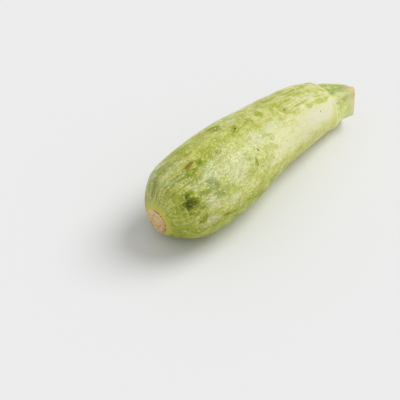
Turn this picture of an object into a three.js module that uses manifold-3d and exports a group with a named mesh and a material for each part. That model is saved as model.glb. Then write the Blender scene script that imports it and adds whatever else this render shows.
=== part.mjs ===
// A pale green marrow-type courgette, picked and lying on its side.
// Two pieces: the fruit, with the corky blossom scar at its thick end, and the
// five-ribbed stalk it was cut from the plant by.
// Millimetres, +Z up, +X from the blossom end to the stalk end.

import * as THREE from 'three';
import { mergeVertices } from 'three/addons/utils/BufferGeometryUtils.js';
import Module from 'manifold-3d';

// ---------------------------------------------------------------- fruit sizes

const FRUIT_LENGTH = 165;
const SCAR_RADIUS = 7.9;
const SHOULDER_RADIUS = 17.5;

// Distance from the scar, and the radius of the fruit there.
const GIRTH = [
  [0, SCAR_RADIUS], [2.5, 13.9], [6.6, 19.9], [13, 26.0], [23, 28.3], [36, 29.3],
  [54, 29.6], [76, 28.0], [99, 25.5], [122, 23.7], [142, 21.6], [155, 19.3],
  [161.5, 18.7], [163.6, 18.5], [164.6, 18.1], [FRUIT_LENGTH, SHOULDER_RADIUS],
];

// Distance from the scar, and how far the middle of the fruit bows sideways.
const BOW = [
  [0, -0.8], [8, -3.2], [18, -5.8], [32, -7.6], [50, -7.4], [70, -5.4],
  [92, -2.9], [115, -1.7], [138, -2.1], [152, -2.1], [FRUIT_LENGTH, -2.9],
];

// Distance from the scar, and the height of the middle of the fruit.
const HEIGHT = [
  [0, 18.2], [8, 22.6], [18, 26.9], [32, 29.1], [50, 29.6], [70, 28.5],
  [92, 26.4], [115, 24.9], [138, 23.9], [152, 21.5], [FRUIT_LENGTH, 18.6],
];

// Both end faces lean: how far each runs forward per millimetre of offset, how far
// along the fruit the lean is felt, and how fast it fades.
const SCAR_LEAN = { side: -0.33, up: 0.52, reach: 16.5, fade: 1.5 };
const SHOULDER_LEAN = { side: 0, up: -0.25, reach: 11.5, fade: 1.2 };

// The neck is softly five-sided, and its ridges twist a little towards the stalk.
// Level is how much of a ridge is taken from the sides between, to keep the girth.
const NECK_RIDGES = {
  count: 5, first: 132, twist: 14, from: 85, strength: 0.08, growth: 1.3, level: 0.28,
};

// The rim of the shoulder draws back a little between two ridges.
const SCALLOP = { depth: 0.3, from: 154, growth: 1.5 };

const SCAR_RECESS = 0.5;
const SCAR_LIP = 0.8;
const SCAR_DOME = 0.3;
const DIMPLE = { along: 16, around: 140.5, width: 4.2, depth: 1.6 };

// How far up the underside is pressed flat where the fruit rests.
const REST_FLAT = 0.4;

// ---------------------------------------------------------------- stalk sizes

const GAP = 0.3;
const STALK_BASE = { side: -0.9, up: -0.9 };
const STALK_REACH = { along: 22.5, side: -8.9, up: -2.5 };
const STALK_PULL = { base: 0.2, cut: 0.36 };
const STALK_TURN = 32;
const STALK_DROOP = 10;

// Share of the stalk's length, and the radius in the hollows between its ribs.
const STALK_CORE = [[0, 14.4], [0.25, 13.4], [0.65, 11.4], [1, 11.1]];

// Where each rib leaves the shoulder and where it ends on the cut, in degrees, and
// how far it stands above the hollows at its foot, part of the way and at the cut.
const RIBS = [
  { base: 132, cut: 106, foot: 2.8, midway: 3.1, tip: 3.5 },
  { base: 204, cut: 194, foot: 3.4, midway: 3.3, tip: 2.1 },
  { base: 276, cut: 262, foot: 1.9, midway: 2.2, tip: 2.8 },
  { base: 348, cut: 334, foot: 2.8, midway: 3.1, tip: 3.5 },
  { base: 60, cut: 38, foot: 2.8, midway: 3.7, tip: 1.4 },
];
const RIB_MIDWAY = 0.4;
const RIB_HALF_WIDTH = 20;
const CUT_LIP = 0.86;
const CUT_RECESS = 0.5;
const CUT_PITH = 0.4;
const CUT_PITH_DEPTH = 1.1;

// ------------------------------------------------------------ how fine the mesh is

// The fruit has ten columns from one ridge to the next, so each ridge lies on one.
const FRUIT_SEGMENTS = 10 * NECK_RIDGES.count;
const FRUIT_RINGS = 42;
const END_CROWDING = 0.62;
const STALK_SEGMENTS = 60;
const STALK_RINGS = 13;
const SLICE_STEP = 0.5;
const MERGE_WITHIN = 1e-4;

// -------------------------------------------------------------------- helpers

const radians = THREE.MathUtils.degToRad;

// A smooth curve through the stations that never overshoots between two of them.
function smooth(stations, at) {
  const last = stations.length - 1;
  const slope = (i) => (stations[i + 1][1] - stations[i][1]) / (stations[i + 1][0] - stations[i][0]);
  const tangent = (i) => {
    if (i === 0) return slope(0);
    if (i === last) return slope(last - 1);
    const before = slope(i - 1);
    const after = slope(i);
    return before * after <= 0 ? 0 : (2 * before * after) / (before + after);
  };
  const clamped = Math.min(Math.max(at, stations[0][0]), stations[last][0]);
  let i = 0;
  while (i < last - 1 && clamped > stations[i + 1][0]) i += 1;
  const span = stations[i + 1][0] - stations[i][0];
  const t = (clamped - stations[i][0]) / span;
  const rise = t * t * (3 - 2 * t);
  const leave = t * (1 - t) * (1 - t) * span * tangent(i);
  const arrive = t * t * (t - 1) * span * tangent(i + 1);
  return stations[i][1] * (1 - rise) + stations[i + 1][1] * rise + leave + arrive;
}

// The shortest way round between two directions, in degrees.
function turnBetween(a, b) {
  return THREE.MathUtils.euclideanModulo(a - b + 180, 360) - 180;
}

// One closed mesh from a row of rings, closed at each end by a middle point.
function skinOver(rings, startMiddle, endMiddle) {
  const count = rings[0].length;
  const corners = [startMiddle, ...rings.flat(), endMiddle];
  const endIndex = corners.length - 1;
  const faces = [];
  const at = (ring, k) => 1 + ring * count + (k % count);
  for (let k = 0; k < count; k += 1) {
    faces.push(0, at(0, k + 1), at(0, k));
    faces.push(endIndex, at(rings.length - 1, k), at(rings.length - 1, k + 1));
  }
  for (let ring = 0; ring < rings.length - 1; ring += 1) {
    for (let k = 0; k < count; k += 1) {
      faces.push(at(ring, k), at(ring + 1, k + 1), at(ring + 1, k));
      faces.push(at(ring, k), at(ring, k + 1), at(ring + 1, k + 1));
    }
  }
  const geometry = new THREE.BufferGeometry();
  const positions = corners.flatMap((p) => [p.x, p.y, p.z]);
  geometry.setAttribute('position', new THREE.Float32BufferAttribute(positions, 3));
  geometry.setIndex(faces);
  return geometry;
}

// ---------------------------------------------------------------------- fruit

function fruitMiddle(along) {
  return new THREE.Vector3(along, smooth(BOW, along), smooth(HEIGHT, along));
}

// The middle, forward, sideways and upward directions of one slice of the fruit.
function fruitSlice(along) {
  const ahead = fruitMiddle(Math.min(along + SLICE_STEP, FRUIT_LENGTH));
  const behind = fruitMiddle(Math.max(along - SLICE_STEP, 0));
  const forward = ahead.sub(behind).normalize();
  const side = new THREE.Vector3(0, 0, 1).cross(forward).normalize();
  const up = forward.clone().cross(side);
  return { middle: fruitMiddle(along), forward, side, up };
}

// How far the end faces' lean carries a point forward.
function leanAt(along, sideways, upwards) {
  const scarPull = Math.max(0, 1 - along / SCAR_LEAN.reach) ** SCAR_LEAN.fade;
  const fromShoulder = (along - FRUIT_LENGTH) / SHOULDER_LEAN.reach;
  const shoulderPull = Math.max(0, 1 + fromShoulder) ** SHOULDER_LEAN.fade;
  const scar = scarPull * (SCAR_LEAN.side * sideways + SCAR_LEAN.up * upwards);
  const shoulder = SHOULDER_LEAN.side * sideways + SHOULDER_LEAN.up * upwards;
  return scar + shoulderPull * shoulder;
}

function fruitPoint(along, degrees, radius) {
  const slice = fruitSlice(along);
  const sideways = radius * Math.cos(radians(degrees));
  const upwards = radius * Math.sin(radians(degrees));
  return slice.middle
    .addScaledVector(slice.side, sideways)
    .addScaledVector(slice.up, upwards)
    .addScaledVector(slice.forward, leanAt(along, sideways, upwards));
}

// How far along the ridged neck a slice is, from 0 to 1 at the shoulder.
function neckShare(along) {
  return Math.min(1, Math.max(0, (along - NECK_RIDGES.from) / (FRUIT_LENGTH - NECK_RIDGES.from)));
}

// The angle of the first ridge at a slice.
function firstRidge(along) {
  return NECK_RIDGES.first - NECK_RIDGES.twist * (1 - neckShare(along));
}

// How far a flat-sided neck stands out at an angle: 1 on a ridge, 0 midway between two.
function ridgeProfile(along, degrees) {
  const halfSide = 180 / NECK_RIDGES.count;
  const fromRidge = THREE.MathUtils.euclideanModulo(degrees - firstRidge(along), 2 * halfSide);
  const standOut = (angle) => 1 / Math.cos(radians(angle)) - 1;
  return standOut(fromRidge - halfSide) / standOut(halfSide);
}

function fruitRadius(along, degrees) {
  const plain = smooth(GIRTH, along);
  const strength = NECK_RIDGES.strength * neckShare(along) ** NECK_RIDGES.growth;
  const ridges = strength * (ridgeProfile(along, degrees) - NECK_RIDGES.level);
  const around = radians(turnBetween(degrees, DIMPLE.around)) * plain;
  const distance = Math.hypot(along - DIMPLE.along, around) / DIMPLE.width;
  return plain * (1 + ridges) - DIMPLE.depth * Math.exp(-distance * distance);
}

// How far the shoulder's rim is drawn back at an angle.
function scallop(along, degrees) {
  const share = Math.max(0, (along - SCALLOP.from) / (FRUIT_LENGTH - SCALLOP.from));
  return SCALLOP.depth * share ** SCALLOP.growth * (1 - ridgeProfile(along, degrees));
}

function fruitRing(along, radiusAt, inward = 0) {
  const ring = [];
  const forward = fruitSlice(along).forward;
  for (let k = 0; k < FRUIT_SEGMENTS; k += 1) {
    const degrees = firstRidge(along) + (360 * k) / FRUIT_SEGMENTS;
    const shift = inward - scallop(along, degrees);
    ring.push(fruitPoint(along, degrees, radiusAt(degrees)).addScaledVector(forward, shift));
  }
  return ring;
}

function fruitGeometry() {
  const rings = [];
  const scarFloor = SCAR_RADIUS - SCAR_LIP;
  rings.push(fruitRing(0, () => scarFloor, SCAR_RECESS));
  for (let i = 0; i <= FRUIT_RINGS; i += 1) {
    const even = i / FRUIT_RINGS;
    const crowded = 0.5 - 0.5 * Math.cos(Math.PI * even);
    const along = FRUIT_LENGTH * (even + END_CROWDING * (crowded - even));
    rings.push(fruitRing(along, (degrees) => fruitRadius(along, degrees)));
  }
  const scarSlice = fruitSlice(0);
  const scarMiddle = scarSlice.middle.addScaledVector(scarSlice.forward, SCAR_RECESS - SCAR_DOME);
  return skinOver(rings, scarMiddle, fruitSlice(FRUIT_LENGTH).middle);
}

// ---------------------------------------------------------------------- stalk

// The shoulder face the stalk grows from, as a plane with its own directions.
function shoulder() {
  const slice = fruitSlice(FRUIT_LENGTH);
  const sideways = slice.side.clone().addScaledVector(slice.forward, SHOULDER_LEAN.side);
  const upwards = slice.up.clone().addScaledVector(slice.forward, SHOULDER_LEAN.up);
  const outward = sideways.clone().cross(upwards).normalize();
  return { middle: slice.middle, sideways, upwards, outward };
}

function stalkPath() {
  const start = shoulder();
  const from = start.middle.clone()
    .addScaledVector(start.sideways, STALK_BASE.side)
    .addScaledVector(start.upwards, STALK_BASE.up)
    .addScaledVector(start.outward, GAP);
  const reach = new THREE.Vector3(STALK_REACH.along, STALK_REACH.side, STALK_REACH.up);
  const to = start.middle.clone().add(reach);
  const turn = radians(STALK_TURN);
  const droop = radians(STALK_DROOP);
  const cutOutward = new THREE.Vector3(
    Math.cos(turn) * Math.cos(droop), -Math.sin(turn) * Math.cos(droop), -Math.sin(droop));
  const span = reach.length();
  const curve = new THREE.CubicBezierCurve3(
    from, from.clone().addScaledVector(start.outward, STALK_PULL.base * span),
    to.clone().addScaledVector(cutOutward, -STALK_PULL.cut * span), to);
  return { curve, start, cutOutward };
}

function stalkRadius(share, degrees) {
  let rise = 0;
  for (const { base, cut, foot, midway, tip } of RIBS) {
    const middle = base + (cut - base) * share;
    const offset = turnBetween(degrees, middle) / RIB_HALF_WIDTH;
    const height = smooth([[0, foot], [RIB_MIDWAY, midway], [1, tip]], share);
    rise = Math.max(rise, height * Math.exp(-offset * offset));
  }
  return smooth(STALK_CORE, share) + rise;
}

function stalkGeometry() {
  const { curve, start, cutOutward } = stalkPath();
  const rings = [];
  let side = start.sideways.clone();
  for (let i = 0; i < STALK_RINGS; i += 1) {
    const share = i / (STALK_RINGS - 1);
    const middle = curve.getPoint(share);
    const forward = curve.getTangent(share);
    side = side.clone().addScaledVector(forward, -side.dot(forward)).normalize();
    const up = forward.clone().cross(side);
    const ring = [];
    for (let k = 0; k < STALK_SEGMENTS; k += 1) {
      const degrees = (360 * k) / STALK_SEGMENTS;
      const radius = stalkRadius(share, degrees);
      ring.push(middle.clone()
        .addScaledVector(side, radius * Math.cos(radians(degrees)))
        .addScaledVector(up, radius * Math.sin(radians(degrees))));
    }
    rings.push(ring);
  }
  const cutMiddle = curve.getPoint(1);
  const shrink = (share, depth) => rings[STALK_RINGS - 1].map((p) => cutMiddle.clone()
    .addScaledVector(p.clone().sub(cutMiddle), share)
    .addScaledVector(cutOutward, -depth));
  const lip = shrink(CUT_LIP, CUT_RECESS);
  const pith = shrink(CUT_PITH, CUT_PITH_DEPTH);
  rings.push(lip, pith);
  const endMiddle = cutMiddle.clone().addScaledVector(cutOutward, -CUT_PITH_DEPTH);
  return skinOver(rings, curve.getPoint(0), endMiddle);
}

// ------------------------------------------------------------- the rest face

const wasm = await Module();
wasm.setup();

// The fruit's underside pressed flat, so it lies where it is put.
function pressFlat(geometry, height) {
  const bare = new THREE.BufferGeometry();
  bare.setAttribute('position', geometry.getAttribute('position'));
  bare.setIndex(geometry.getIndex());
  const merged = mergeVertices(bare, MERGE_WITHIN);
  const body = new wasm.Manifold(new wasm.Mesh({
    numProp: 3,
    vertProperties: new Float32Array(merged.getAttribute('position').array),
    triVerts: new Uint32Array(merged.getIndex().array),
  }));
  const pressed = body.trimByPlane([0, 0, 1], height).getMesh();
  const result = new THREE.BufferGeometry();
  result.setAttribute('position', new THREE.Float32BufferAttribute(pressed.vertProperties, 3));
  result.setIndex(Array.from(pressed.triVerts));
  return result;
}

// ------------------------------------------------------------------- assembly

function piece(name, slot, geometry, colour, roughness) {
  geometry.computeVertexNormals();
  const material = new THREE.MeshStandardMaterial({ color: colour, roughness, metalness: 0 });
  material.name = slot;
  const mesh = new THREE.Mesh(geometry, material);
  mesh.name = name;
  return mesh;
}

const fruit = piece('fruit', 'skin', pressFlat(fruitGeometry(), REST_FLAT), 0xc3cb86, 0.42);
const stem = piece('stem', 'stalk', stalkGeometry(), 0xb9c474, 0.6);

const courgette = new THREE.Group();
courgette.name = 'courgette';
courgette.add(fruit, stem);

// The origin stands under the middle of the whole courgette, on the surface.
const box = new THREE.Box3().setFromObject(courgette);
for (const mesh of [fruit, stem]) {
  mesh.geometry.translate(-(box.min.x + box.max.x) / 2, -(box.min.y + box.max.y) / 2, -box.min.z);
}

export default courgette;
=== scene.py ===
"""A picked, pale green courgette lying on its side: its skin, its stalk and a plain studio."""

import math

import bpy
from mathutils import Matrix, Vector


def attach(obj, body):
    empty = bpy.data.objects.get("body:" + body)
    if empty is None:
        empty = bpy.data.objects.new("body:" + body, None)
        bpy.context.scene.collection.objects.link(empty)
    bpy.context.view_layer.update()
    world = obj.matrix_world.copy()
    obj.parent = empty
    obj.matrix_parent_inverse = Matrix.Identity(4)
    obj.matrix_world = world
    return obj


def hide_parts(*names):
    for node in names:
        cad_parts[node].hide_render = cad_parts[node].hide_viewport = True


bl_info = {
    "name": "Pale courgette",
    "version": (1, 0, 0),
    "blender": (4, 5, 0),
    "location": "3D View > Sidebar > Courgette",
    "description": "Models a picked courgette, its stalk and a plain studio to see them in",
    "category": "Add Mesh",
}

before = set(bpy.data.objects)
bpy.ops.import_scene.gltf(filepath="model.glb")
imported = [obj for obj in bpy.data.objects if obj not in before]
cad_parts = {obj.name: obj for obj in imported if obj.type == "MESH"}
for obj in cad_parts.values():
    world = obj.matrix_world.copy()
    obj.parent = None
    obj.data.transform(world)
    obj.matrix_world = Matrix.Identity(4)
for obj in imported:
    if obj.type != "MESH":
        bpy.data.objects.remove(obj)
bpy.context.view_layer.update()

MM = 0.001

# Angles round the fruit: 0 is +Y, 90 is straight up, 180 is -Y. Lengths are millimetres.

# ---- the fruit's shape ----

# Where the middle line starts, at the blossom scar, in metres.
START = Vector((-0.097, 0.00684, -0.0004))

# Distance from the scar, and the radius there.
GIRTH = [
    (0, 7.6), (2.5, 13.9), (6.6, 19.9), (13, 26.0), (23, 28.3), (36, 29.3), (54, 29.6),
    (76, 28.0), (99, 25.5), (122, 23.7), (142, 21.6), (155, 19.3), (161.5, 18.7),
    (163.6, 18.5), (164.6, 18.1), (165, 17.5),
]

# Distance from the scar, and how far the middle bows sideways.
BOW = [
    (0, -0.8), (8, -3.2), (18, -5.8), (32, -7.6), (50, -7.4), (70, -5.4), (92, -2.9),
    (115, -1.7), (138, -2.1), (152, -2.1), (165, -2.9),
]

# Distance from the scar, and the height of the middle.
HEIGHT = [
    (0, 18.2), (8, 22.6), (18, 26.9), (32, 29.1), (50, 29.6), (70, 28.5), (92, 26.4),
    (115, 24.9), (138, 23.9), (152, 21.5), (165, 18.6),
]

FRUIT_LENGTH = 165

# How far each end face leans sideways and upwards, and how far the lean reaches along.
SCAR_LEAN = (-0.33, 0.52, 16.5)
SHOULDER_LEAN = (0.0, -0.25, 11.5)

# The skin is drawn as rings of this many corners, a turn apart.
COLUMNS = 40
COLUMN_TURN = 360 / COLUMNS
RINGS = [
    0, 1.2, 3, 5.5, 9, 13.5, 19, 26, 34, 43, 53, 63, 73, 83, 93, 103, 113, 123, 132, 140, 147,
    153, 157.5, 160.5, 162.8, 164.3, 165,
]

# Share of the rim's radius, and how far along each ring of an end face lies.
SCAR_FACE = [(0.12, 0.1), (0.3, 0.15), (0.58, 0.3), (0.8, 0.5), (0.9, 0.5), (0.96, 0.15)]
SHOULDER_FACE = [(0.9, -0.1), (0.7, -0.3), (0.35, -0.3)]

# The neck's five ridges: the first one's angle at the shoulder, their twist, where they start,
# the columns from one to the next, and the height at which a ridged ring keeps its girth.
FIRST_RIDGE = 132
RIDGE_TWIST = 14
RIDGES_FROM = 85
RIDGE_COLUMNS = 8
RIDGE_MEAN = 0.28

# How far along the rim of the shoulder starts to draw back between two ridges.
SCALLOP_FROM = 154

# The skin's own map is laid out on a cylinder of this radius, which closes to a dome at the
# scar, and is about this long.
MAP_RADIUS = 29
MAP_DOME = 14
MAP_LENGTH = 190

# Dents and bumps pushed into the skin: along, around, push, reach.
DENTS = [
    (16.2, 141, -1.2, 6.5), (15.6, 139.5, -1.3, 3.4), (17.8, 143, -0.6, 3.2),
    (12.6, 148, 0.6, 2.8), (13.6, 131, 0.5, 2.6), (24, 64, -0.5, 15), (27, 90, -0.35, 3.5),
    (63, 132, -0.25, 2.5), (110, 108, -0.3, 6), (147, 120, -0.5, 9), (157, 150, -0.4, 9),
    (47, 100, 0.5, 16), (80, 140, -0.4, 22), (33, 178, 0.4, 14), (70, 20, -0.4, 18),
    (120, 350, 0.4, 20), (40, 320, -0.3, 15),
]

# Lumps that push the skin in and out: name, size, strength.
SKIN_LUMPS = [("swellings", 26, 0.9), ("lumps", 9, 0.35), ("grain", 2.2, 0.12)]

# ---- the stalk's shape ----

# Where its foot stands on the shoulder, how deep the foot is sunk, and where it reaches.
STALK_BASE = (-0.9, -0.9)
STALK_FOOT = -0.8
STALK_REACH = Vector((22.5, -8.9, -2.5))

# How the cut end is turned and droops, and how hard each end pulls on the curve between.
STALK_TURN = 32
STALK_DROOP = 10
STALK_PULL = (0.2, 0.36)

# Share of the way along the stalk, and the radius between its ribs.
STALK_CORE = [(0, 14.4), (0.25, 13.4), (0.65, 11.4), (1, 11.1)]

# Each rib's angle at the base and at the cut, and its height at the foot, midway and at the tip.
RIBS = [
    (132, 106, 3.0, 3.2, 3.6),
    (204, 194, 4.6, 3.4, 2.2),
    (276, 262, 2.0, 2.3, 2.9),
    (348, 334, 3.0, 3.2, 3.6),
    (60, 38, 3.0, 4.0, 1.5),
]

# The share of the way along that counts as midway.
RIB_MIDWAY = 0.4

# Half the width of a rib in degrees, and how sharp its edge stays.
RIB_HALF_WIDTH = 20
RIB_CREASE = 0.45
STALK_RINGS = [0, 0.05, 0.13, 0.24, 0.36, 0.49, 0.62, 0.74, 0.85, 0.93, 0.98, 1.0]

# Share of the cut's radius, and how far back each ring of the cut face lies.
CUT_FACE = [(0.93, 0.1), (0.86, 0.5), (0.6, 0.6), (0.4, 0.8), (0.3, 1.3), (0.1, 1.5)]

# Share of the cut's radius inside which no rib shows.
RIBS_WITHIN = 0.3

# The stalk's own map: its radius, its length, and the length of the cut face beyond it.
STALK_MAP_RADIUS = 13
STALK_MAP_LENGTH = 25
STALK_MAP_FACE = 11

STALK_LUMPS = [("stalk_lumps", 5, 0.5), ("stalk_grain", 1.6, 0.15)]

# ---- marks on the skin ----

# How far a mark reaches in and out of the skin.
MARK_DEPTH = 30

# Each mark: along, around, half its length, half its width, lean of its long side.
LEAF_MARKS = [
    (12.4, 137.4, 4.4, 2.2, 120), (10.9, 148, 3, 1.8, 110), (16.9, 131, 4, 3, 100),
    (16.4, 155, 2.2, 1.5, 0), (19.2, 114, 2.6, 2.2, 0), (23, 108.5, 4, 3.6, 90),
    (29.6, 101.6, 3.6, 2.4, 82), (18.4, 165.6, 4, 0.9, 112), (8.6, 138, 2.6, 2, 100),
    (4.6, 141, 2.8, 1.6, 60), (16, 170, 1.8, 1, 40), (18.2, 148.8, 2.6, 2, 60),
    (14, 155.5, 2.6, 1.6, 100), (10.2, 125, 2.4, 1.2, 90), (62.6, 93.5, 3.6, 3.4, 0),
    (75.8, 93, 6, 2, 0), (89.3, 92.3, 3.2, 3, 0), (109.7, 96, 4.6, 2.4, 90),
    (111.8, 108.3, 3.3, 3, 0), (121.5, 95.6, 4.2, 2.4, 0), (131.4, 94.8, 3.4, 2.6, 90),
    (134.1, 126.6, 2.6, 1.6, 0), (143.5, 124.6, 9.5, 2.6, 4), (41.5, 105, 1.8, 1.5, 0),
    (108, 106, 3.2, 2.4, 0), (57, 73, 5, 4, 30),
]
MOSS_MARKS = [
    (29, 134, 4.2, 2.8, 66), (22.6, 135.5, 2.8, 2.2, 0), (20.6, 146.5, 2.6, 1.8, 0),
    (8, 79, 4, 3.2, 0), (4.1, 75.2, 3.5, 2, 0), (18.7, 70.4, 5.5, 4, 0),
    (18.5, 104, 7, 1.5, 165), (20, 100, 3.8, 1.6, 0), (29.9, 147.8, 3.4, 2.2, 40),
    (57.8, 143.2, 2.8, 1.2, 99), (58, 67.6, 4.8, 1.2, 33),
]
FADED_MARKS = [
    (68, 152, 8, 4.6, 60), (52.9, 150, 5, 3.4, 0), (76, 142, 6, 2.6, 20),
    (42, 114, 3.6, 2.2, 0), (36, 150, 6, 3, 40), (92, 109, 4, 1.6, 0), (101, 84, 5, 3, 0),
    (48, 88, 6, 3, 10), (61.8, 155, 5, 3, 60), (54.2, 132.5, 3.2, 2.2, 60),
    (78, 124.7, 3.6, 2.2, 60), (115, 99, 6, 3.4, 0), (40, 74, 7, 2.6, 0), (57, 84, 5, 2.6, 0),
    (64, 152, 4, 3, 60), (53, 99, 4.6, 3, 0), (46, 77, 4.6, 2.4, 0), (22.5, 115.5, 3.2, 2.6, 0),
    (19, 85, 4, 2.4, 0), (30.5, 155, 3.6, 2.2, 0), (82, 131, 4, 2.6, 0),
    (61.5, 115, 3.6, 2.4, 0),
]
# Pale patches: partly waxy bloom, partly a painted sheen where the light falls.
BLOOM_AND_SHEEN_MARKS = [
    (44, 130, 12, 8, 90), (31, 124, 8, 6, 90), (25.8, 150.9, 7, 4, 38), (51, 131, 8, 6, 0),
    (66, 121, 10, 5, 0), (84, 124, 12, 5, 0), (16.3, 86.2, 9, 2.2, 172), (14, 57, 6, 6, 0),
    (21, 122, 5, 3, 90), (40, 140.5, 9, 4.4, 0), (26, 157, 3.6, 2.4, 0),
    (13.9, 99.4, 2.6, 2, 0), (69.8, 77, 3, 2.4, 0), (20, 177, 5, 3, 0), (46, 139, 7, 4.2, 0),
    (138, 109, 7, 1.6, 0), (35, 165, 5, 2.6, 0),
]
YELLOW_MARKS = [(9, 133, 9, 11, 0)]
OLIVE_MARKS = [
    (15.4, 140.2, 4.6, 2.6, 112), (17.4, 141.8, 3, 2, 30), (16, 130, 2, 1.2, 100),
    (16.4, 145, 2.4, 1.8, 100), (13.7, 136.6, 2.4, 1.4, 100),
]
PIT_MARKS = [
    (15.1, 141, 2.6, 1.6, 112), (15.8, 136.6, 1.7, 1.2, 118), (16, 129.4, 0.8, 0.5, 100),
    (17.8, 140.4, 0.7, 0.5, 0),
]
BROWN_MARKS = [(25.7, 95.8, 3, 1.4, 162)]
DARK_MARKS = [
    (63.3, 133, 1.3, 0.5, 87), (63.4, 92.1, 1, 0.6, 0), (17, 127.6, 0.5, 0.4, 0),
    (111.5, 109.1, 0.7, 1, 0), (95.3, 150.7, 0.5, 0.4, 0), (140.1, 144, 0.4, 0.7, 0),
    (28.9, 179.4, 1.6, 0.5, 0), (33.6, 184.5, 0.6, 0.4, 0), (57.6, 147, 0.4, 1, 0),
    (45, 118.7, 0.3, 0.8, 0), (135.3, 79.8, 1, 0.5, 0),
]
# Pale lines: scratches, and beside the dimple a painted highlight along its raised rim.
SCRATCHES_AND_RIM_HIGHLIGHTS = [
    (26.5, 130.6, 3.6, 0.25, 72), (12.8, 146.4, 2.8, 0.45, 100), (15.4, 128.2, 1.7, 0.4, 100),
    (111.3, 121.9, 8, 0.35, 5), (127.3, 117.6, 7, 0.3, 4), (35, 190, 8, 0.4, 20),
    (80, 290, 12, 0.4, 8), (50, 20, 9, 0.35, 12),
]


# ---- helpers ----


def smooth(stations, at):
    """A smooth value through the stations that never overshoots between two of them."""
    last = len(stations) - 1

    def slope(i):
        (x0, y0), (x1, y1) = stations[i], stations[i + 1]
        return (y1 - y0) / (x1 - x0)

    def tangent(i):
        if i == 0:
            return slope(0)
        if i == last:
            return slope(last - 1)
        before, after = slope(i - 1), slope(i)
        return 0 if before * after <= 0 else 2 * before * after / (before + after)

    at = min(max(at, stations[0][0]), stations[last][0])
    i = 0
    while i < last - 1 and at > stations[i + 1][0]:
        i += 1
    (x0, y0), (x1, y1) = stations[i], stations[i + 1]
    span = x1 - x0
    t = (at - x0) / span
    rise = t * t * (3 - 2 * t)
    value = y0 * (1 - rise) + y1 * rise
    value += t * (1 - t) ** 2 * span * tangent(i)
    return value + t * t * (t - 1) * span * tangent(i + 1)


def place(along):
    """A point of the fruit's middle line."""
    return START + Vector((along, smooth(BOW, along), smooth(HEIGHT, along))) * MM


def slice_at(along):
    """The middle, forward, sideways and upward directions of one slice of the fruit."""
    ahead = place(min(along + 0.5, FRUIT_LENGTH))
    behind = place(max(along - 0.5, 0))
    forward = (ahead - behind).normalized()
    side = Vector((0, 0, 1)).cross(forward).normalized()
    return place(along), forward, side, forward.cross(side)


def leaning(along):
    """A slice's middle, normal, side, up and stretch, turned where an end face leans."""
    middle, forward, side, up = slice_at(along)
    scar = max(0, 1 - along / SCAR_LEAN[2]) ** 1.5
    shoulder = max(0, 1 + (along - FRUIT_LENGTH) / SHOULDER_LEAN[2]) ** 1.2
    side = side + forward * (scar * SCAR_LEAN[0] + shoulder * SHOULDER_LEAN[0])
    up = up + forward * (scar * SCAR_LEAN[1] + shoulder * SHOULDER_LEAN[1])
    stretch = (side.length + up.length) / 2
    normal = side.cross(up).normalized()
    side = side.normalized()
    return middle, normal, side, normal.cross(side), stretch


def ring_turn(normal, side, up, degrees):
    """The turn that puts a circle in a slice, with its first corner at an angle."""
    angle = math.radians(degrees)
    first = side * math.cos(angle) + up * math.sin(angle)
    return Matrix((first.cross(normal), first, normal)).transposed()


def leave_edit_mode():
    if bpy.context.object and bpy.context.object.mode != "OBJECT":
        bpy.ops.object.mode_set(mode="OBJECT")


def deselect():
    leave_edit_mode()
    bpy.ops.object.select_all(action="DESELECT")


def select_corners(piece, wanted):
    """Selects only the corners in the list, and goes on in edit mode."""
    leave_edit_mode()
    mesh = piece.data
    mesh.edges.foreach_set("select", [False] * len(mesh.edges))
    mesh.polygons.foreach_set("select", [False] * len(mesh.polygons))
    flags = [False] * len(mesh.vertices)
    for index in wanted:
        flags[index] = True
    mesh.vertices.foreach_set("select", flags)
    bpy.ops.object.mode_set(mode="EDIT")


def turn(rotation, middle):
    """Turns what is selected about a point."""
    for axis, angle in zip("XYZ", rotation.to_euler("XYZ")):
        if abs(angle) > 1e-7:
            bpy.ops.transform.rotate(value=-angle, orient_axis=axis, center_override=middle)


def ridge_profile(offset):
    """How far a five-sided skin stands out a number of columns from a ridge, 1 on the ridge."""
    half_side = math.radians(COLUMN_TURN * RIDGE_COLUMNS / 2)
    turned = half_side * (1 - 2 * offset / RIDGE_COLUMNS)
    return (1 / math.cos(turned) - 1) / (1 / math.cos(half_side) - 1)


def from_ridge(column):
    """How many columns a column lies from the nearest ridge."""
    return min(column % RIDGE_COLUMNS, -column % RIDGE_COLUMNS)


def ridge_corners(ring, offset):
    """The corners of a ring that lie a number of columns from any ridge."""
    return ring_corners(ring, [k for k in range(COLUMNS) if from_ridge(k) == offset])


def beside(ridge, offset):
    """The columns a number of steps from one ridge; the one midway to the next comes once."""
    return {ridge + offset} if 2 * offset == RIDGE_COLUMNS else {ridge + offset, ridge - offset}


def resize(factor, middle):
    bpy.ops.transform.resize(value=(factor, factor, factor), center_override=middle)


def draw_skin(rings):
    """Draws a skin out ring by ring; each ring is its middle, its turn and its radius."""
    middle, rotation, radius = rings[0]
    deselect()
    bpy.ops.mesh.primitive_circle_add(
        vertices=COLUMNS, radius=radius, location=middle, rotation=rotation.to_euler()
    )
    bpy.ops.object.transform_apply(location=True, rotation=True, scale=True)
    piece = bpy.context.object
    bpy.ops.object.mode_set(mode="EDIT")
    bpy.ops.mesh.select_mode(type="VERT")
    bpy.ops.mesh.select_all(action="SELECT")
    for (old_middle, old_turn, old_radius), (middle, rotation, radius) in zip(rings, rings[1:]):
        bpy.ops.mesh.extrude_edges_move()
        bpy.ops.transform.translate(value=middle - old_middle)
        turn(rotation @ old_turn.transposed(), middle)
        resize(radius / old_radius, middle)
    return piece


def ring_corners(ring, columns=range(COLUMNS)):
    return [ring * COLUMNS + column % COLUMNS for column in columns]


def swell(piece, corners, factor, middle):
    """Moves some corners of a ring in or out from its middle."""
    if abs(factor - 1) > 1e-5:
        select_corners(piece, corners)
        resize(factor, middle)


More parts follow.
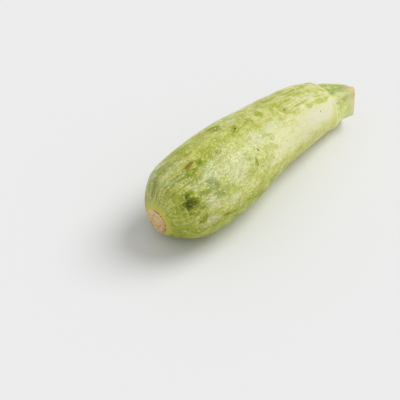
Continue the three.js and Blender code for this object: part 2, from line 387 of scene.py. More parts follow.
def on_map(path, reach, around):
    """A place on a map laid out on a cylinder."""
    angle = math.radians(around)
    return Vector((path, reach * math.cos(angle), reach * math.sin(angle)))


def lay_values(piece, name, values):
    """Gives each corner of a piece its own place or number, under a name."""
    kind, field = ("FLOAT_VECTOR", "vector") if isinstance(values[0], Vector) else ("FLOAT", "value")
    layer = piece.data.attributes.new(name, kind, "POINT")
    for corner, value in enumerate(values):
        setattr(layer.data[corner], field, value)


def close_ends(piece, last_ring):
    """Draws the first and the last ring together into a point and turns the faces outwards."""
    select_corners(piece, ring_corners(last_ring))
    bpy.ops.mesh.merge(type="CENTER")
    select_corners(piece, ring_corners(0))
    bpy.ops.mesh.merge(type="CENTER")
    bpy.ops.mesh.select_all(action="SELECT")
    bpy.ops.mesh.normals_make_consistent(inside=False)
    leave_edit_mode()


def apply_modifier(piece, kind, **settings):
    """Adds one modifier, sets it up and applies it."""
    leave_edit_mode()
    modifier = piece.modifiers.new(kind.title(), kind)
    for name, value in settings.items():
        setattr(modifier, name, value)
    bpy.context.view_layer.objects.active = piece
    bpy.ops.object.modifier_apply(modifier=modifier.name)


def roughen(piece, name, size, strength):
    """Pushes a surface in and out by a number of mm, in soft lumps of a size in mm."""
    texture = bpy.data.textures.new(name, "CLOUDS")
    texture.noise_scale = size * MM
    texture.noise_depth = 2
    apply_modifier(piece, "DISPLACE", texture=texture, strength=strength * MM, mid_level=0.5)


def nudge(piece, point, push, reach):
    """Pushes a soft dent or bump into the skin at a point."""
    corner = min(piece.data.vertices, key=lambda v: (v.co - point).length_squared)
    direction = corner.normal * push * MM
    select_corners(piece, [corner.index])
    bpy.ops.transform.translate(
        value=direction,
        use_proportional_edit=True,
        proportional_edit_falloff="SMOOTH",
        proportional_size=reach * MM,
    )
    leave_edit_mode()


def finish_piece(piece, name, node, material):
    """Names a finished piece, gives it its material and ties it to the frame."""
    deselect()
    piece.name = name
    piece.data.name = name
    piece.data.materials.append(material)
    bpy.context.view_layer.objects.active = piece
    piece.select_set(True)
    bpy.ops.object.shade_smooth()
    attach(piece, "root")
    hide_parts(node)


# ---- materials ----


def srgb(red, green, blue):
    """A colour as written on a colour chart, in the light's own numbers."""

    def linear(value):
        value /= 255
        return value / 12.92 if value <= 0.04045 else ((value + 0.055) / 1.055) ** 2.4

    return (linear(red), linear(green), linear(blue), 1.0)


def colour_of(setting):
    """A colour setting with its opacity added."""
    return (*setting, 1.0)


class Recipe:
    """Builds the nodes of one material or of the world."""

    def __init__(self, owner):
        owner.use_nodes = True
        self.tree = owner.node_tree

    def feed(self, node, inputs):
        """Gives a node's inputs what they need: another node's output, or a plain value."""
        for name, value in inputs.items():
            if isinstance(value, bpy.types.NodeSocket):
                self.tree.links.new(value, node.inputs[name])
            else:
                node.inputs[name].default_value = value

    def node(self, kind, inputs, **settings):
        """Adds a node, sets it up, feeds it and gives its outputs."""
        node = self.tree.nodes.new("ShaderNode" + kind)
        for name, value in settings.items():
            setattr(node, name, value)
        self.feed(node, inputs)
        return node.outputs

    def skin_place(self):
        """The piece's own map, in millimetres."""
        return self.stretch(self.node("Attribute", {}, attribute_name="lie")["Vector"], 1 / MM)

    def stretch(self, where, *sizes):
        """Coordinates measured in these sizes, one for all or one each way."""
        sizes = sizes if len(sizes) == 3 else sizes * 3
        return self.node("Mapping", {"Vector": where, "Scale": sizes})["Vector"]

    def lengthen(self, where, size, long):
        """Coordinates measured in a size in mm, and so many times longer along the piece."""
        return self.stretch(where, 1 / (size * long), 1 / size, 1 / size)

    def path(self, where):
        """How far a place lies along the piece, over its skin, in mm."""
        return self.node("SeparateXYZ", {0: where})[0]

    def towards(self, where, around):
        """How far a place lies towards an angle round the piece, in mm from its middle."""
        angle = math.radians(around)
        inputs = {0: where, 1: (0, math.cos(angle), math.sin(angle))}
        return self.node("VectorMath", inputs, operation="DOT_PRODUCT")["Value"]

    def noise(self, where, size, detail=2.0, rough=0.5, long=1.0):
        """Soft noise, its lumps a size in mm and so many times longer than wide."""
        inputs = {"Scale": 1.0, "Detail": detail, "Roughness": rough}
        inputs["Vector"] = self.lengthen(where, size, long)
        return self.node("TexNoise", inputs)["Fac"]

    def flecks(self, where, size, long, least, most):
        """Oval flecks, each of its own size between least and most of a cell."""
        cells = self.node("TexVoronoi", {"Vector": self.lengthen(where, size, long), "Scale": 1.0})
        tones = self.node("SeparateColor", {0: cells["Color"]})
        edge = self.band(tones[0], 0, 1, least, most)
        inside = self.reckon("SUBTRACT", edge, cells["Distance"])
        return self.times(self.band(inside, 0.0, 0.09), self.band(tones[1], 0, 1, 0.5, 1))

    def wander(self, where, size, reach):
        """The same place, moved about a little so that edges are ragged."""
        inputs = {"Vector": self.stretch(where, 1 / size), "Scale": 1.0, "Detail": 3.0}
        inputs = {0: self.node("TexNoise", inputs)["Color"], 1: [2 * reach] * 3, 2: [-reach] * 3}
        push = self.node("VectorMath", inputs, operation="MULTIPLY_ADD")[0]
        return self.node("VectorMath", {0: where, 1: push}, operation="ADD")[0]

    def band(self, value, low, high, out_low=0.0, out_high=1.0):
        """Runs smoothly from one output to the other as a value goes from low to high."""
        inputs = {"Value": value, "From Min": low, "From Max": high, "To Min": out_low, "To Max": out_high}
        return self.node("MapRange", inputs, interpolation_type="SMOOTHSTEP")["Result"]

    def reckon(self, kind, a, b, clamp=False):
        """One step of arithmetic."""
        return self.node("Math", {0: a, 1: b}, operation=kind, use_clamp=clamp)[0]

    def plus(self, a, b, clamp=False):
        return self.reckon("ADD", a, b, clamp)

    def times(self, first, *others):
        """All the values multiplied together."""
        for other in others:
            first = self.reckon("MULTIPLY", first, other)
        return first

    def between(self, share, a, b):
        """A number that runs from a to b as the share runs from 0 to 1."""
        return self.node("Mix", {"Factor": share, "A": a, "B": b}, data_type="FLOAT")["Result"]

    def mix(self, share, a, b, blend="MIX"):
        """A colour that runs from a to b as the share runs from 0 to 1."""
        inputs = {"Factor": share, "A": a, "B": b}
        return self.node("Mix", inputs, data_type="RGBA", blend_type=blend)["Result"]

    def tint(self, share, colour, by):
        """Multiplies a colour by another, by a share."""
        return self.mix(share, colour, by, "MULTIPLY")

    def lay(self, colour, mask, strength, over):
        """Lays a colour over another where a mask is up, at a strength."""
        return self.mix(self.times(mask, strength), colour, over)

    def ramp(self, value, *stops):
        """A run of colours or grey levels; each stop is a place and what it gives."""
        run = self.node("ValToRGB", {"Fac": value})["Color"]
        elements = run.node.color_ramp.elements
        elements[0].position, elements[1].position = stops[0][0], stops[-1][0]
        for at, _ in stops[1:-1]:
            elements.new(at)
        grey = not isinstance(stops[0][1], tuple)
        for element, (_, colour) in zip(elements, stops):
            element.color = (colour, colour, colour, 1) if grey else colour
        return self.node("RGBToBW", {0: run})[0] if grey else run

    def marks(self, where, places, soft=0.5):
        """One mask for a list of oval marks on the skin."""
        mask = None
        for along, around, length, width, lean in places:
            tilt = Matrix.Rotation(math.radians(around) - math.pi / 2, 3, "X")
            tilt = tilt @ Matrix.Rotation(math.radians(-lean), 3, "Z")
            inputs = {"Vector": where, "Location": map_point(along, around)}
            inputs["Rotation"] = tilt.to_euler("XYZ")
            inputs["Scale"] = Vector((length, width, MARK_DEPTH)) * (1 + soft)
            oval = self.node("Mapping", inputs, vector_type="TEXTURE")["Vector"]
            one = self.node("TexGradient", {"Vector": oval}, gradient_type="SPHERICAL")["Fac"]
            mask = one if mask is None else self.reckon("MAXIMUM", mask, one)
        return self.band(mask, 0, 2 * soft / (1 + soft))

    def surface(self, colour, rough, height, gloss=0.3):
        """Sets colour, roughness and gloss, and a bump whose height is in mm."""
        bump = self.node("Bump", {"Height": height, "Distance": MM, "Strength": 1.0})["Normal"]
        inputs = {"Base Color": colour, "Roughness": rough, "Specular IOR Level": gloss, "Normal": bump}
        self.feed(self.tree.nodes["Principled BSDF"], inputs)


# ---- the fruit ----


def past(start, along):
    """How far it is from a start to the shoulder, as a share of the whole way."""
    return max(0, (along - start) / (FRUIT_LENGTH - start))


def first_column(along):
    return FIRST_RIDGE - RIDGE_TWIST * (1 - past(RIDGES_FROM, along))


def fruit_rings():
    """Every ring from the middle of the scar to the middle of the shoulder.

    Each is its distance along, its share of the radius there and how far it is set in.
    """
    scar = [(0, share, depth) for share, depth in SCAR_FACE]
    body = [(along, 1, 0) for along in RINGS]
    shoulder = [(FRUIT_LENGTH, share, depth) for share, depth in SHOULDER_FACE]
    return scar + body + shoulder


def fruit_ring(along, share, depth):
    """Middle, turn and radius of one ring of the fruit's skin."""
    middle, normal, side, up, stretch = leaning(along)
    radius = smooth(GIRTH, along) * stretch * share * MM
    return middle + normal * depth * MM, ring_turn(normal, side, up, first_column(along)), radius


def skin_point(along, around):
    """A point on the fruit's skin, a distance from the scar and an angle round."""
    middle, _, side, up, stretch = leaning(along)
    angle = math.radians(around)
    reach = smooth(GIRTH, along) * stretch * MM
    return middle + (side * math.cos(angle) + up * math.sin(angle)) * reach


def path_to(along, share=1.0):
    """How far it is over the skin, from the middle of the scar, in mm."""
    steps = [step for step in RINGS if step < along] + [along]
    path = smooth(GIRTH, 0) if along > 0 else smooth(GIRTH, 0) * share
    for before, after in zip(steps, steps[1:]):
        path += math.hypot(after - before, smooth(GIRTH, after) - smooth(GIRTH, before))
    if along == FRUIT_LENGTH:
        path += smooth(GIRTH, along) * (1 - share)
    return path


def map_point(along, around, share=1.0):
    """A place on the skin's own map, in mm."""
    path = path_to(along, share)
    return on_map(path, MAP_RADIUS * min(1, path / MAP_DOME), around)


def fruit_map(rings):
    """Each corner's place on the skin's own map, in metres."""
    places = []
    for along, share, _ in rings:
        for column in range(COLUMNS):
            around = first_column(along) + COLUMN_TURN * column
            places.append(map_point(along, around, share) * MM)
    return places


def skin_ground(skin, settings, where, share, crown, clouds_mid):
    """Where the top is, how green the skin is, 0 cream to 1 deep green, and its colour."""
    # Greener along the top and cream low on the side: partly the skin's own colour, partly painted shade
    # along the top and painted light on the side.
    top_green_and_shade = skin.ramp(share, (0, 0.62), (0.2, 0.64), (0.4, 0.6), (0.6, 0.55), (0.75, 0.6), (1, 0.53))
    side_green_and_light = skin.ramp(share, (0, 0.66), (0.15, 0.54), (0.3, 0.42), (0.5, 0.27), (0.75, 0.12), (1, 0.04))
    side_edge = skin.band(share, 0.25, 0.55, 4, 20)
    top = skin.band(crown, side_edge, 27)
    green = skin.between(top, side_green_and_light, top_green_and_shade)
    # Greener low on the side from the middle on: partly the skin's own colour, partly painted shade with a
    # painted green reflection.
    underside_green_and_shade = skin.times(skin.band(crown, 14, -2), skin.band(share, 0.2, 0.5, 0.22, 0.38))
    green = skin.plus(green, underside_green_and_shade)
    clouds = skin.noise(where, 15, 2, 0.5, 1.8)
    green = skin.plus(green, skin.band(clouds, 0.3, 0.7, -0.07, 0.07))
    mottling = skin.between(skin.band(share, 0.5, 0.75), 0.24, skin.band(top, 0, 1, 0.15, 0.44))
    mottling = skin.times(mottling, skin.band(clouds_mid, 0.3, 0.72, -0.5, 0.5))
    green = skin.plus(green, mottling, clamp=True)
    colour = skin.ramp(
        green,
        (0, colour_of(settings.cream)),
        (0.25, srgb(225, 227, 166)),
        (0.5, colour_of(settings.green)),
        (0.75, srgb(168, 176, 48)),
        (1, colour_of(settings.deep_green)),
    )
    wash = skin.ramp(
        share,
        (0, (0.99, 0.98, 0.71, 1)),
        (0.2, (0.99, 0.99, 0.87, 1)),
        (0.45, (0.99, 0.98, 0.96, 1)),
        (0.7, (0.99, 0.97, 0.97, 1)),
        (1, (1.02, 1, 1, 1)),
    )
    return top, green, skin.tint(1, colour, wash)


def skin_cork(skin, settings, where, edge, clouds_fine):
    """The colour of the corky scar, and its cracks."""
    worn = skin.band(skin.noise(where, 2.2, 4, 0.65), 0.33, 0.62)
    cork = skin.mix(worn, srgb(200, 158, 104), colour_of(settings.cork))
    cork = skin.mix(skin.band(skin.towards(where, 80), -8, 12, 0, 0.6), cork, srgb(252, 226, 168))
    spots = skin.band(skin.noise(where, 1.7, 3, 0.6), 0.55, 0.68)
    cork = skin.lay(cork, spots, 0.55, srgb(146, 108, 68))
    near_side = skin.band(skin.towards(where, 160), 0, 7)
    rim = skin.times(skin.band(edge, 5.8, 7.2), near_side, skin.band(clouds_fine, 0.38, 0.55))
    cork = skin.lay(cork, rim, 0.85, srgb(120, 84, 48))
    gaps = skin.band(clouds_fine, 0.42, 0.56)
    circle = skin.times(skin.band(edge, 3, 3.7), skin.band(edge, 4.8, 4.1), gaps)
    return skin.lay(cork, circle, 0.6, srgb(150, 108, 66)), skin.plus(spots, rim)


def skin_material(settings):
    """Pale, flecked green skin with its marks, its corky scar and its pale shoulder."""
    material = bpy.data.materials.new("courgette_skin")
    skin = Recipe(material)
    where = skin.skin_place()
    loose = skin.wander(where, 4.5, 2.2)
    path = skin.path(where)
    share = skin.reckon("DIVIDE", path, MAP_LENGTH)
    crown = skin.towards(where, 92)
    clouds_mid = skin.noise(where, 4.5, 3, 0.62, 1.6)
    clouds_fine = skin.noise(where, 1.7, 2, 0.6, 1.3)

    top, green, colour = skin_ground(skin, settings, where, share, crown, clouds_mid)

    # Pale waxy bloom that is partly a painted sheen, mossy grey-green patches and bright green patches,
    # all with broken edges.
    breaks = skin.band(clouds_mid, 0.25, 0.75, -0.4, 0.4)
    breaks = skin.plus(breaks, skin.band(clouds_fine, 0.25, 0.75, -0.25, 0.25))

    def patches(places):
        near = skin.marks(loose, places, 1)
        broken = skin.band(skin.plus(near, breaks), 0.15, 0.85)
        return skin.times(broken, skin.band(near, 0.02, 0.4))

    colour = skin.lay(colour, patches(BLOOM_AND_SHEEN_MARKS), 0.65, colour_of(settings.bloom_and_sheen))
    colour = skin.lay(colour, patches(MOSS_MARKS), 0.7, colour_of(settings.moss))
    colour = skin.lay(colour, patches(FADED_MARKS), 0.62, srgb(180, 190, 90))
    fresh = skin.mix(skin.band(clouds_fine, 0.36, 0.6), colour_of(settings.leaf), srgb(162, 174, 42))
    fresh = skin.mix(skin.band(share, 0.3, 0.8, 0, 0.7), fresh, srgb(184, 194, 56))
    colour = skin.lay(colour, patches(LEAF_MARKS), 0.95, fresh)

    # Fine streaks that run out from the scar, and lines along the neck.
    streaks = skin.noise(where, 1.25, 2, 0.55, 12)
    dome = skin.times(skin.band(path, 26, 46, 1, 0), skin.band(crown, 16, 26, 0.3, 1))
    pale = skin.band(streaks, 0.5, 0.62)
    deep = skin.band(streaks, 0.48, 0.38)
    colour = skin.lay(colour, skin.times(pale, dome), 0.66, srgb(222, 226, 162))
    colour = skin.lay(colour, skin.times(deep, dome), 0.5, srgb(128, 144, 56))
    neck = skin.times(skin.band(path, 105, 145), skin.band(crown, 22, 26))
    colour = skin.lay(colour, skin.times(pale, neck), 0.5, srgb(230, 230, 160))

    # The dark dimple.
    ragged = skin.wander(where, 1.3, 0.5)
    olive = patches(OLIVE_MARKS)
    shade_of_pit = skin.mix(skin.band(clouds_fine, 0.35, 0.62), srgb(98, 108, 8), srgb(136, 148, 30))
    colour = skin.lay(colour, olive, 0.85, shade_of_pit)
    broken = skin.band(clouds_fine, 0.3, 0.6, 0.5, 1)
    pit = skin.times(skin.marks(ragged, PIT_MARKS, 0.9), broken)
    colour = skin.lay(colour, pit, 0.9, srgb(72, 64, 8))

    # Soft blotches and fine grain, stronger in some places than in others, then pale
    # flecks of all sizes and a few dark pores.
    contrast = skin.ramp(share, (0, 1), (0.3, 0.85), (0.6, 0.5), (1, 0.3))
    contrast = skin.times(contrast, skin.band(green, 0.1, 0.45, 0.4, 1))
    strong = skin.band(skin.noise(where, 7, 2, 0.6, 1.5), 0.35, 0.6, 0.45, 1)
    blotch = skin.band(skin.noise(where, 2.3, 3, 0.6, 1.2), 0.34, 0.66)
    soft = skin.mix(blotch, (0.87, 0.89, 0.78, 1), (1.1, 1.08, 1.16, 1))
    colour = skin.tint(skin.band(contrast, 0.1, 0.7, 0.15, 0.9), colour, soft)
    warmth = skin.band(skin.noise(where, 6, 2, 0.5, 1.3), 0.36, 0.64)
    warm = skin.mix(warmth, (0.97, 1, 0.94, 1), (1.03, 0.985, 1.06, 1))
    colour = skin.tint(0.9, colour, warm)
    grain = skin.noise(where, 1, 4, 0.75, 1.3)
    shade = skin.mix(skin.band(grain, 0.34, 0.66), (0.51, 0.55, 0.4, 1), (1.28, 1.26, 1.42, 1))
    colour = skin.tint(skin.times(contrast, 0.66), colour, shade)
    large = skin.flecks(where, 2.4, 1.3, -0.12, 0.27)
    small = skin.flecks(where, 1.1, 1.2, -0.2, 0.5)
    dots = skin.reckon("MAXIMUM", large, small)
    speckle = skin.times(dots, skin.times(contrast, strong, skin.band(olive, 0, 1, 1, 0.35)))
    colour = skin.mix(speckle, colour, skin.mix(0.72, colour, colour_of(settings.flecks)))
    pores = skin.times(skin.flecks(where, 1.5, 1, -0.4, 0.26), contrast)
    colour = skin.lay(colour, pores, 0.8, srgb(104, 112, 34))

    # Yellower between the scar and the dimple, duller along the top of the neck.
    colour = skin.tint(skin.marks(where, YELLOW_MARKS, 1), colour, (0.91, 0.96, 0.55, 1))
    colour = skin.tint(skin.times(top, skin.band(share, 0.3, 0.5)), colour, (1, 1, 1.14, 1))

    # Scratches and the painted highlight along the dimple's rim, brown and black spots.
    colour = skin.lay(colour, skin.marks(ragged, SCRATCHES_AND_RIM_HIGHLIGHTS, 0.4), 0.5, srgb(224, 226, 160))
    brown = skin.marks(ragged, BROWN_MARKS, 0.5)
    colour = skin.lay(colour, brown, 0.85, srgb(128, 104, 34))
    colour = skin.lay(colour, skin.marks(ragged, DARK_MARKS, 0.7), 0.9, srgb(68, 66, 14))

    # The yellow halo and the corky scar.
    edge = skin.path(skin.wander(where, 2.2, 1.1))
    colour = skin.mix(skin.band(edge, 8.5, 14, 0.8, 0), colour, srgb(216, 210, 84))
    cork, cracks = skin_cork(skin, settings, where, edge, clouds_fine)
    scar = skin.band(edge, 7.3, 8.3, 1, 0)
    colour = skin.mix(scar, colour, cork)

    # The yellow band and the cream rim of the shoulder; the cream rim is partly the skin's own colour and
    # partly a painted highlight along its edge.
    end = path_to(FRUIT_LENGTH)
    inside = skin.band(edge, end - 2.6, end - 1.4, 1, 0)
    low = skin.band(crown, 23, 14, 0.1, 0.6)
    yellow = skin.times(skin.band(edge, end - 8, end - 5), inside, low)
    colour = skin.mix(yellow, colour, srgb(218, 220, 112))
    colour = skin.lay(colour, skin.band(edge, end - 2.4, end - 1.2), 0.75, srgb(236, 236, 196))

    rough = skin.band(clouds_mid, 0.3, 0.7, 0.36, 0.48)
    rough = skin.plus(rough, skin.times(skin.reckon("MAXIMUM", scar, brown), 0.4), clamp=True)
    cracks = skin.times(cracks, scar)
    bump = skin.times(dots, 0.04)
    for shape, height in ((grain, 0.12), (streaks, 0.15), (cracks, -0.2)):
        bump = skin.plus(bump, skin.times(shape, height))
    skin.surface(colour, rough, bump, gloss=0.2)
    return material


def colour_setting(name, description, usual):
    """A colour a user can change."""
    return bpy.props.FloatVectorProperty(
        name=name, description=description, default=usual[:3], subtype="COLOR", min=0.0, max=1.0
    )


def share_setting(name, description, usual, most):
    """A share a user can change, from nothing to the most."""
    return bpy.props.FloatProperty(
        name=name, description=description, default=usual, min=0.0, max=most, subtype="FACTOR"
    )


class COURGETTE_PG_fruit(bpy.types.PropertyGroup):
    """Sizes and colours of the fruit."""

    ridge_strength: share_setting(
        "Neck ridges", "How far the five ridges of the neck stand out, as a share of its radius", 0.08, 0.2
    )
    scallop: bpy.props.FloatProperty(
        name="Shoulder scallop",
        description="How far the rim of the shoulder draws back between two ridges",
        default=0.0003,
        min=0.0,
        max=0.002,
        precision=5,
        unit="LENGTH",
    )
    lumps: share_setting("Lumps", "How uneven the skin is, as a share of its usual unevenness", 1.0, 2.0)
    cream: colour_setting("Cream", "The palest skin, low on the side of the neck", srgb(232, 232, 200))
    green: colour_setting("Green", "The common colour of the skin", srgb(206, 210, 116))
    deep_green: colour_setting("Deep green", "The darkest the ground of the skin gets", srgb(120, 132, 16))
    # The pale patches' colour: partly waxy bloom, partly a painted sheen.
    bloom_and_sheen: colour_setting("Bloom", "The pale waxy patches", srgb(224, 228, 178))
    moss: colour_setting("Moss", "The dull grey-green patches", srgb(136, 151, 70))
    leaf: colour_setting("Leaf green", "The bright green patches", srgb(120, 136, 26))
    flecks: colour_setting("Flecks", "The fine pale flecks all over the skin", srgb(252, 252, 192))
    cork: colour_setting("Cork", "The dry scar at the blossom end", srgb(252, 222, 168))


class COURGETTE_OT_fruit(bpy.types.Operator):
    """Model the fruit with its skin and blossom scar"""

    bl_idname = "courgette.fruit"
    bl_label = "Add the fruit"

    def execute(self, context):
        settings = context.scene.courgette_fruit
        rings = fruit_rings()
        piece = draw_skin([fruit_ring(*ring) for ring in rings])
        for ring, (along, share, _) in enumerate(rings):
            rise = past(RIDGES_FROM, along) ** 1.3 * settings.ridge_strength
            if rise == 0:
                continue
            back = past(SCALLOP_FROM, along) ** 1.5 * settings.scallop * share
            middle, turned, _ = fruit_ring(along, share, 0)
            for offset in range(RIDGE_COLUMNS // 2 + 1):
                profile = ridge_profile(offset)
                swell(piece, ridge_corners(ring, offset), 1 + rise * (profile - RIDGE_MEAN), middle)
                if back > 0 and offset > 0:
                    bpy.ops.transform.translate(value=turned.col[2] * -back * (1 - profile))
        leave_edit_mode()
        lay_values(piece, "lie", fruit_map(rings))
        close_ends(piece, len(rings) - 1)
        apply_modifier(piece, "SUBSURF", levels=2)
        for along, around, push, reach in DENTS:
            nudge(piece, skin_point(along, around), push, reach)
        apply_modifier(piece, "SUBSURF", levels=1)
        for name, size, strength in SKIN_LUMPS:
            roughen(piece, name, size, strength * settings.lumps)
        # The underside gives a little where it lies on the floor.
        select_corners(piece, [v.index for v in piece.data.vertices if v.co.z < 0])
        bpy.ops.transform.resize(value=(1, 1, 0), center_override=(0, 0, 0))
        finish_piece(piece, "courgette_fruit", "fruit", skin_material(settings))
        return {"FINISHED"}


# ---- the stalk ----


def stalk_path():
    """The stalk's curve as four handles, and the sideways direction at its foot."""
    middle, forward, side, up = slice_at(FRUIT_LENGTH)
    sideways = side + forward * SHOULDER_LEAN[0]
    upwards = up + forward * SHOULDER_LEAN[1]
    outward = sideways.cross(upwards).normalized()
    base = middle + (sideways * STALK_BASE[0] + upwards * STALK_BASE[1] + outward * STALK_FOOT) * MM
    end = middle + STALK_REACH * MM
    turned, drooped = math.radians(STALK_TURN), math.radians(STALK_DROOP)
    level = Vector((math.cos(turned), -math.sin(turned), 0))
    cut = level * math.cos(drooped) - Vector((0, 0, math.sin(drooped)))
    span = STALK_REACH.length * MM
    handles = (base, base + outward * STALK_PULL[0] * span, end - cut * STALK_PULL[1] * span, end)
    return handles, sideways


def first_rib(share):
    """The angle of the first rib, a share of the way along the stalk."""
    return RIBS[0][0] + (RIBS[0][1] - RIBS[0][0]) * share


def rib_profile(offset):
    """How high a rib stands a number of columns from its middle, 1 on its middle."""
    return math.exp(-((COLUMN_TURN * offset / RIB_HALF_WIDTH) ** 2))


def stalk_rings():
    """Share along, share of radius, middle, normal, turn and radius of each ring of the stalk."""
    (a, b, c, d), side = stalk_path()
    rings = []
    for share in STALK_RINGS:
        rest = 1 - share
        middle = a * rest**3 + b * 3 * rest**2 * share + c * 3 * rest * share**2 + d * share**3
        forward = (b - a) * rest**2 + (c - b) * 2 * rest * share + (d - c) * share**2
        forward.normalize()
        side = (side - forward * side.dot(forward)).normalized()
        turned = ring_turn(forward, side, forward.cross(side), first_rib(share))
        rings.append((share, 1, middle, forward, turned, smooth(STALK_CORE, share) * MM))
    _, _, middle, forward, turned, radius = rings[-1]
    for part, depth in CUT_FACE:
        rings.append((1, part, middle - forward * depth * MM, forward, turned, radius * part))
    return rings


def stalk_map(rings):
    """Each corner's place on the stalk's own map, in metres."""
    places = []
    for share, part, *_ in rings:
        path = STALK_MAP_LENGTH * share + STALK_MAP_FACE * (1 - part)
        reach = STALK_MAP_RADIUS * min(1, part * 1.5)
        for column in range(COLUMNS):
            places.append(on_map(path, reach, first_rib(share) + COLUMN_TURN * column) * MM)
    return places


def stalk_material(settings):
    """Ribbed, fibrous green stalk with a dry cut end."""
    material = bpy.data.materials.new("courgette_stalk")
    skin = Recipe(material)
    where = skin.skin_place()
    rib = skin.node("Attribute", {}, attribute_name="rib")["Fac"]
    path = skin.path(where)
    fibres = skin.noise(where, 0.8, 3, 0.6, 10)
    blotches = skin.noise(where, 2.6, 3, 0.6, 1.6)
    loose = skin.wander(where, 2, 0.8)

    # Mottled green, with painted shade in the hollow on top and a painted highlight on the lower ribs.
    mottled = skin.band(blotches, 0.36, 0.62)
    green = skin.mix(mottled, colour_of(settings.pale), colour_of(settings.green))
    hollow_shade = skin.band(skin.towards(loose, 82), 5, 11)
    green = skin.lay(green, hollow_shade, 0.75, colour_of(settings.hollow_shade))
    green = skin.lay(green, skin.band(blotches, 0.52, 0.4), 0.5, srgb(220, 226, 160))
    # A painted highlight along the ribs, kept to the lower ribs.
    low = skin.band(skin.towards(loose, 84), 12.6, 10, 0.35, 1)
    ridge = skin.times(skin.band(rib, 0.45, 0.95), low)
    colour = skin.lay(green, ridge, 0.7, srgb(228, 234, 166))
    colour = skin.mix(skin.band(fibres, 0.5, 0.66, 0, 0.45), colour, srgb(170, 180, 84))
    colour = skin.lay(colour, skin.band(path, 5, 1), 0.5, srgb(212, 218, 120))

    # Paler towards the cut, and dry tan on the upper edge.
    front = skin.band(skin.towards(loose, 76), 12.4, 9, 0.1, 0.75)
    colour = skin.lay(colour, skin.band(path, 15, 25), front, srgb(234, 230, 182))
    upper = skin.band(skin.towards(loose, 98), 7.5, 12)
    dry = skin.times(skin.band(path, 19, 24.5), upper, skin.band(blotches, 0.3, 0.5, 0.5, 0.9))
    colour = skin.mix(dry, colour, colour_of(settings.dry))

    # The cut face: a dry rim, pale flesh, a ring of bundles and a hollow pith.
    flesh = skin.mix(blotches, srgb(214, 210, 150), srgb(190, 184, 118))
    ring = skin.times(skin.band(path, 26.5, 27.2), skin.band(path, 31, 30))
    bundles = skin.times(skin.flecks(where, 1.7, 0.6, 0.2, 0.42), ring)
    flesh = skin.lay(flesh, bundles, 0.7, srgb(128, 134, 66))
    flesh = skin.mix(skin.band(path, 32, 33.5, 0, 0.7), flesh, srgb(140, 116, 70))
    colour = skin.mix(skin.band(path, 25.4, 26), colour, flesh)

    bump = skin.plus(skin.times(fibres, 0.5), skin.times(bundles, 0.2))
    skin.surface(colour, skin.band(fibres, 0.3, 0.7, 0.45, 0.65), bump)
    return material


class COURGETTE_PG_stalk(bpy.types.PropertyGroup):
    """Sizes and colours of the stalk."""

    rib_height: share_setting(
        "Rib height", "How high the stalk's ribs stand, as a share of their usual height", 1.0, 2.0
    )
    pale: colour_setting("Pale green", "The pale mottling of the stalk", srgb(232, 236, 168))
    green: colour_setting("Green", "The green mottling of the stalk", srgb(203, 211, 114))
    # Painted shade: the colour of the hollow along the top.
    hollow_shade: colour_setting("Hollow", "The darker hollow along the top", srgb(138, 156, 60))
    dry: colour_setting("Dry tan", "The dried upper edge of the cut", srgb(226, 200, 136))


class COURGETTE_OT_stalk(bpy.types.Operator):
    """Model the five-ribbed stalk and its cut end"""

    bl_idname = "courgette.stalk"
    bl_label = "Add the stalk"

    def execute(self, context):
        settings = context.scene.courgette_stalk
        rings = stalk_rings()
        piece = draw_skin([(middle, turned, radius) for _, _, middle, _, turned, radius in rings])
        for ring, (share, part, middle, forward, _, radius) in enumerate(rings):
            tallness = settings.rib_height * max(0, part - RIBS_WITHIN) / (1 - RIBS_WITHIN)
            for rib, (base, cut, foot, midway, tip) in enumerate(RIBS):
                ridge = RIDGE_COLUMNS * rib
                height = smooth([(0, foot), (RIB_MIDWAY, midway), (1, tip)], share) * tallness
                for offset in range(RIDGE_COLUMNS // 2 + 1):
                    rise = height * rib_profile(offset) * part
                    swell(piece, ring_corners(ring, beside(ridge, offset)), 1 + rise * MM / radius, middle)
                # Turn the rib from its even place to its own angle.
                even = first_rib(share) + COLUMN_TURN * ridge
                shift = (base + (cut - base) * share - even + 180) % 360 - 180
                if abs(shift) > 0.1:
                    select_corners(piece, ring_corners(ring, range(ridge - 2, ridge + 3)))
                    turn(Matrix.Rotation(math.radians(shift), 3, forward), middle)
        leave_edit_mode()
        lay_values(piece, "lie", stalk_map(rings))
        profile = [rib_profile(from_ridge(column)) for column in range(COLUMNS)]
        lay_values(piece, "rib", profile * len(rings))
        creased = [corner for ring in range(len(STALK_RINGS)) for corner in ridge_corners(ring, 0)]
        select_corners(piece, creased)
        bpy.ops.transform.edge_crease(value=RIB_CREASE)
        close_ends(piece, len(rings) - 1)
        apply_modifier(piece, "SUBSURF", levels=3)
        for name, size, strength in STALK_LUMPS:
            roughen(piece, name, size, strength)
        finish_piece(piece, "courgette_stalk", "stem", stalk_material(settings))
        return {"FINISHED"}


# ---- the stage ----


# Places in metres, angles in degrees.
CAMERA_PLACE = (-0.35581, -0.27581, 0.39175)
CAMERA_TURN = -46.66
CAMERA_TILT = 47
LAMP_PLACE = (0.75, -0.3, 0.95)


class COURGETTE_PG_stage(bpy.types.PropertyGroup):
    """The floor, the light and the camera."""

    floor_colour: colour_setting(
        "Floor colour", "Colour of the floor the courgette lies on", (0.845, 0.845, 0.85)
    )
    lens: bpy.props.FloatProperty(
        name="Lens", description="Focal length of the camera", default=76.5, min=20.0, unit="CAMERA"
    )
    lamp_width: bpy.props.FloatProperty(
        name="Lamp width",
        description="How wide the soft lamp is, seen from the courgette",
        default=math.radians(36),
        min=0.0,
        max=math.pi,
        subtype="ANGLE",
    )
    lamp_strength: bpy.props.FloatProperty(
        name="Lamp strength", description="How bright the soft lamp is", default=1.8, min=0.0
    )
    room_light: bpy.props.FloatProperty(
        name="Room light", description="How bright the even light from all round is", default=0.56, min=0.0
    )


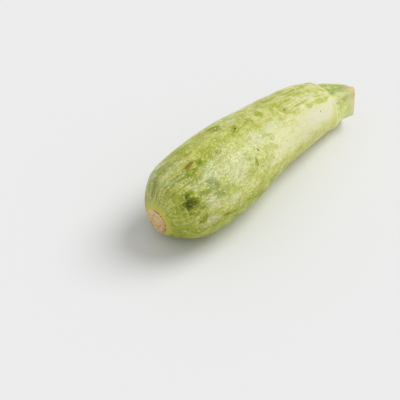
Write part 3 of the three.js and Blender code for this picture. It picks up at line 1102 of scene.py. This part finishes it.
def studio(settings):
    """An even white room that lights the scene and shows behind it in the floor's colour."""
    world = bpy.data.worlds.new("studio")
    room = Recipe(world)
    light = room.tree.nodes["Background"]
    room.feed(light, {"Color": (1, 1, 1, 1), "Strength": settings.room_light})
    seen = room.node("LightPath", {})["Is Camera Ray"]
    backdrop = room.node("Background", {"Color": colour_of(settings.floor_colour)})[0]
    shown = room.node("MixShader", {0: seen, 1: light.outputs[0], 2: backdrop})[0]
    room.feed(room.tree.nodes["World Output"], {"Surface": shown})
    return world


def floor_material(settings):
    """A plain dull floor."""
    material = bpy.data.materials.new("plain_floor")
    inputs = {"Base Color": colour_of(settings.floor_colour), "Roughness": 1.0, "Specular IOR Level": 0.0}
    paint = Recipe(material)
    paint.feed(paint.tree.nodes["Principled BSDF"], inputs)
    return material


class COURGETTE_OT_stage(bpy.types.Operator):
    """Set up the floor, the soft light and the camera"""

    bl_idname = "courgette.stage"
    bl_label = "Set the stage"

    def execute(self, context):
        settings = context.scene.courgette_stage
        deselect()
        bpy.ops.mesh.primitive_plane_add(size=12)
        floor = context.object
        floor.name = "floor"
        floor.data.materials.append(floor_material(settings))
        context.scene.world = studio(settings)
        bpy.ops.object.light_add(type="SUN", location=LAMP_PLACE)
        lamp = context.object
        lamp.data.angle = settings.lamp_width
        lamp.data.energy = settings.lamp_strength
        lamp.rotation_euler = lamp.location.to_track_quat("Z", "Y").to_euler()
        aim = (math.radians(CAMERA_TILT), 0, math.radians(CAMERA_TURN))
        bpy.ops.object.camera_add(location=CAMERA_PLACE, rotation=aim)
        camera = context.object
        camera.data.lens = settings.lens
        camera.data.sensor_width = 36
        context.scene.camera = camera
        context.scene.view_settings.view_transform = "Standard"
        return {"FINISHED"}


class COURGETTE_PT_panel(bpy.types.Panel):
    """Buttons and settings for the courgette"""

    bl_label = "Courgette"
    bl_idname = "COURGETTE_PT_panel"
    bl_space_type = "VIEW_3D"
    bl_region_type = "UI"
    bl_category = "Courgette"

    def draw(self, context):
        for group, operator in (
            ("courgette_fruit", COURGETTE_OT_fruit),
            ("courgette_stalk", COURGETTE_OT_stalk),
            ("courgette_stage", COURGETTE_OT_stage),
        ):
            box = self.layout.box()
            settings = getattr(context.scene, group)
            for name in settings.__annotations__:
                box.prop(settings, name)
            box.operator(operator.bl_idname)


CLASSES = (
    COURGETTE_PG_fruit,
    COURGETTE_PG_stalk,
    COURGETTE_PG_stage,
    COURGETTE_OT_fruit,
    COURGETTE_OT_stalk,
    COURGETTE_OT_stage,
    COURGETTE_PT_panel,
)


def register():
    for item in CLASSES:
        bpy.utils.register_class(item)
    bpy.types.Scene.courgette_fruit = bpy.props.PointerProperty(type=COURGETTE_PG_fruit)
    bpy.types.Scene.courgette_stalk = bpy.props.PointerProperty(type=COURGETTE_PG_stalk)
    bpy.types.Scene.courgette_stage = bpy.props.PointerProperty(type=COURGETTE_PG_stage)


def unregister():
    del bpy.types.Scene.courgette_stage
    del bpy.types.Scene.courgette_stalk
    del bpy.types.Scene.courgette_fruit
    for item in reversed(CLASSES):
        bpy.utils.unregister_class(item)


def main():
    register()
    bpy.ops.courgette.fruit()
    bpy.ops.courgette.stalk()
    bpy.ops.courgette.stage()


if __name__ == "__main__":
    main()
